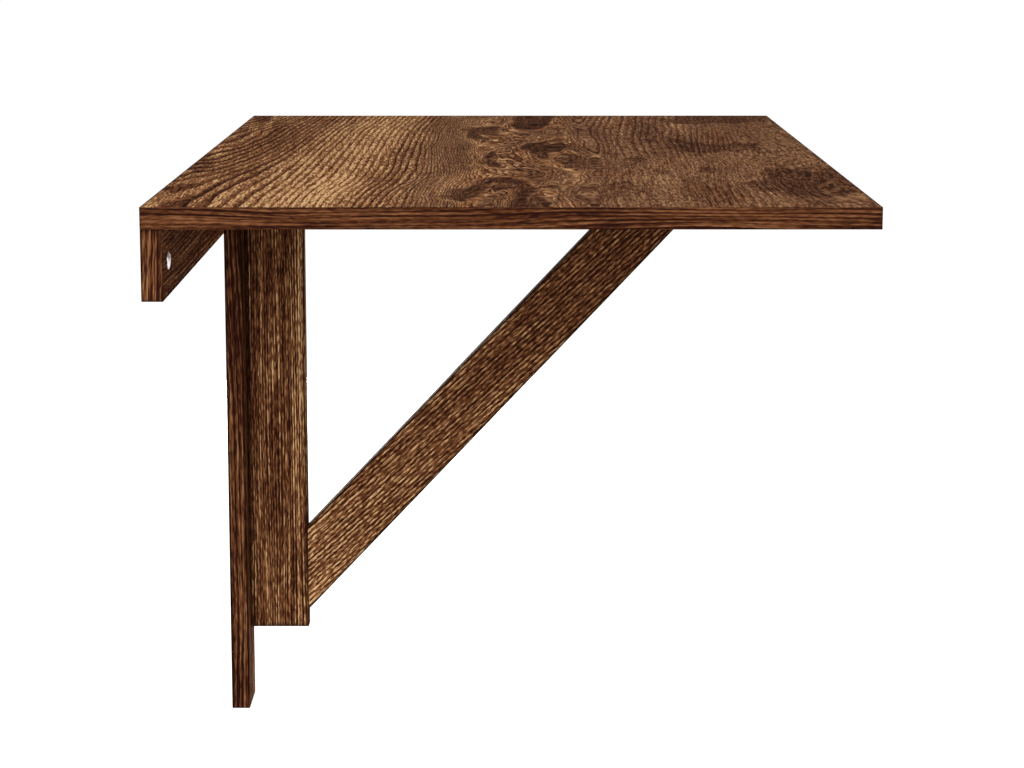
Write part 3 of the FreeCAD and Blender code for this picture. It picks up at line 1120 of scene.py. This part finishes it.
@dataclass
class Studio:
    """The white room: floor, lamps, world and camera."""

    floor_height: float = -0.70  # the floor under a table top at sitting height
    floor_side: float = 40.0  # half the floor's side
    floor_colours: tuple[Colour, Colour] = ((0.80, 0.80, 0.80), (0.84, 0.84, 0.84))
    glow: float = 0.62  # the floor's own light where it is seen
    ambient: float = 0.48  # the world's light on the object
    eye: Vector = Vector((0.2979, -2.6713, 0.2817))  # the camera's place
    pitch: float = 0.1727  # how far the camera looks down
    yaw: float = 0.0013  # how far the camera looks to the right
    lens: float = 95.021  # focal length in millimetres
    sensor: float = 36.0  # the sensor's width in millimetres
    target: Vector = Vector((0.3, 0.0, -0.15))  # the point that the lamps face
    lamps: tuple[Lamp, ...] = (
        Lamp("front", Vector((-0.2, -3.4, 1.25)), 2.2, 108.0),
        Lamp("top", Vector((0.5, -0.4, 2.4)), 2.0, 19.0),
        Lamp("back", Vector((-0.42, 3.0, -0.34)), 0.7, 40.0),
        Lamp("side", Vector((3.4, 0.2, 1.1)), 1.2, 50.0),
    )

    def build(self) -> None:
        """Makes the floor, the lamps, the world and the camera."""
        self._floor()
        self._world()
        for lamp in self.lamps:
            lamp.hang(self.target)
        data = bpy.data.cameras.new("camera")
        data.lens, data.sensor_width = self.lens, self.sensor
        camera = bpy.data.objects.new("camera", data)
        camera.location = self.eye
        camera.rotation_euler = (math.pi / 2 - self.pitch, 0.0, -self.yaw)
        bpy.context.scene.collection.objects.link(camera)
        bpy.context.scene.camera = camera
        bpy.context.scene.view_settings.view_transform = "Standard"

    def _seen(self, graph: Graph) -> Socket:
        """Finds the rays that show the background: from the camera, a gloss or glass.

        Args:
            graph: the floor's or the world's graph.

        Returns:
            1 for such a ray.
        """
        rays = graph.node("ShaderNodeLightPath").outputs
        first = graph.math("MAXIMUM", rays["Is Camera Ray"], rays["Is Glossy Ray"])
        return graph.math("MAXIMUM", first, rays["Is Transmission Ray"])

    def _floor(self) -> None:
        """Makes the pale floor, which is not in the way of a look from below."""
        side, z = self.floor_side, self.floor_height
        mesh = bpy.data.meshes.new("floor")
        corners = [(-side, -side, z), (side, -side, z), (side, side, z), (-side, side, z)]
        mesh.from_pydata(corners, [], [(0, 1, 2, 3)])
        floor = bpy.data.objects.new("floor", mesh)
        bpy.context.scene.collection.objects.link(floor)
        made = Material("pale_floor")
        g = made.graph
        dust = g.noise(made.place(), 0.0, Layer(across=3.0, along=3.0))
        made.feed("Base Color", g.mix("RGBA", dust, *self.floor_colours))
        made.feed("Roughness", 0.9)
        made.feed("Specular IOR Level", 0.0)
        made.feed("Emission Color", WHITE)
        made.feed("Emission Strength", g.times(self._seen(g), self.glow))
        under = g.node("ShaderNodeNewGeometry").outputs["Backfacing"]
        clear = g.node("ShaderNodeBsdfTransparent").outputs[0]
        sides = g.node("ShaderNodeMixShader", under, made.shader.outputs[0], clear)
        g.feed(made.data.node_tree.nodes["Material Output"].inputs["Surface"], sides.outputs[0])
        mesh.materials.append(made.data)

    def _world(self) -> None:
        """Makes the world: white where it is seen, softer where it lights the object."""
        world = bpy.data.worlds.new("studio")
        bpy.context.scene.world = world
        world.use_nodes = True
        g = Graph(world.node_tree)
        sky = world.node_tree.nodes["Background"]
        g.feed(sky.inputs["Color"], WHITE)
        g.feed(sky.inputs["Strength"], g.ease(self._seen(g), 0.0, 1.0, self.ambient))


def main() -> None:
    """Dresses the sub-assemblies in order, then sets up the studio."""
    logging.basicConfig(level=logging.INFO, format="%(name)s: %(message)s")
    # The edge values set the painted edge shadow lines: soft on the bands, wide on the stile, dark on
    # the strut.
    band = {"pitch": 0.0034, "figure": 0.009, "figure_width": 0.03, "figure_length": 0.3, "tone": 0.38,
            "streak": 0.34, "fleck": 0.22, "fineness": 1.3, "fleck_length": 0.008, "edge": 0.3}
    seeds = {"near": 8.0, "far": 9.5, "front": 10.6, "back": 12.1}
    bands = {f"edge_band_{side}": OakFinish(seed=seed, **band) for side, seed in seeds.items()}
    Leaf(bands, LeafFinish()).dress()
    wall = WallFrame({
        "wall_batten": OakFinish(seed=20.0, tone=0.4, streak=0.45, fleck_length=0.012, fineness=1.3),
        "wall_post": OakFinish(seed=23.0, tone=0.44, drift=1.2, line_depth=0.6, streak=0.5,
                               fleck_length=0.012, fineness=1.3),
        "stop_block": OakFinish(seed=27.0, tone=0.5)})
    # The stile's and the strut's fade is painted shade under the leaf: both darken towards their tops.
    bracket = SwingBracket({
        # The stile's lean darkens it towards the post: partly the foil's own tone, partly painted shade
        # from the post.
        "bracket_stile": OakFinish(seed=31.0, tone=0.56, pitch=0.0031, lean=0.06, fade=0.2, drift=0.6,
                                   line_depth=0.55, streak=0.6, fleck=0.46, fleck_length=0.008,
                                   fineness=1.15, wobble=0.002, edge_width=0.006),
        "bracket_rail": OakFinish(seed=35.0, tone=0.56)},
        strut=OakFinish(seed=42.0, tone=0.68, pitch=0.004, figure=0.003, fade=0.6,
                        skew=math.radians(4.5), line_depth=0.8, drift=0.35, streak=0.2, fleck=0.5,
                        fleck_length=0.006, fineness=1.1, wobble=0.0015, edge=0.9, edge_width=0.0035),
        dowels=OakFinish(seed=51.0, pitch=0.002, tone=0.95, line_depth=0.12, drift=0.15, edge=0.0))
    tree = ScrewTree()
    wall.dress()
    wall.screws(tree)
    bracket.dress()
    bracket.screws(tree)
    Hinges({
        "upper_hinge": ("post_flap", "stile_flap", "pin"),
        "lower_hinge": ("post_flap", "stile_flap", "pin"),
        "near_leaf_hinge": ("arm", "flap", "pin"),
        "far_leaf_hinge": ("arm", "flap", "pin")}).dress()
    Studio().build()


if __name__ == "__main__":
    main()
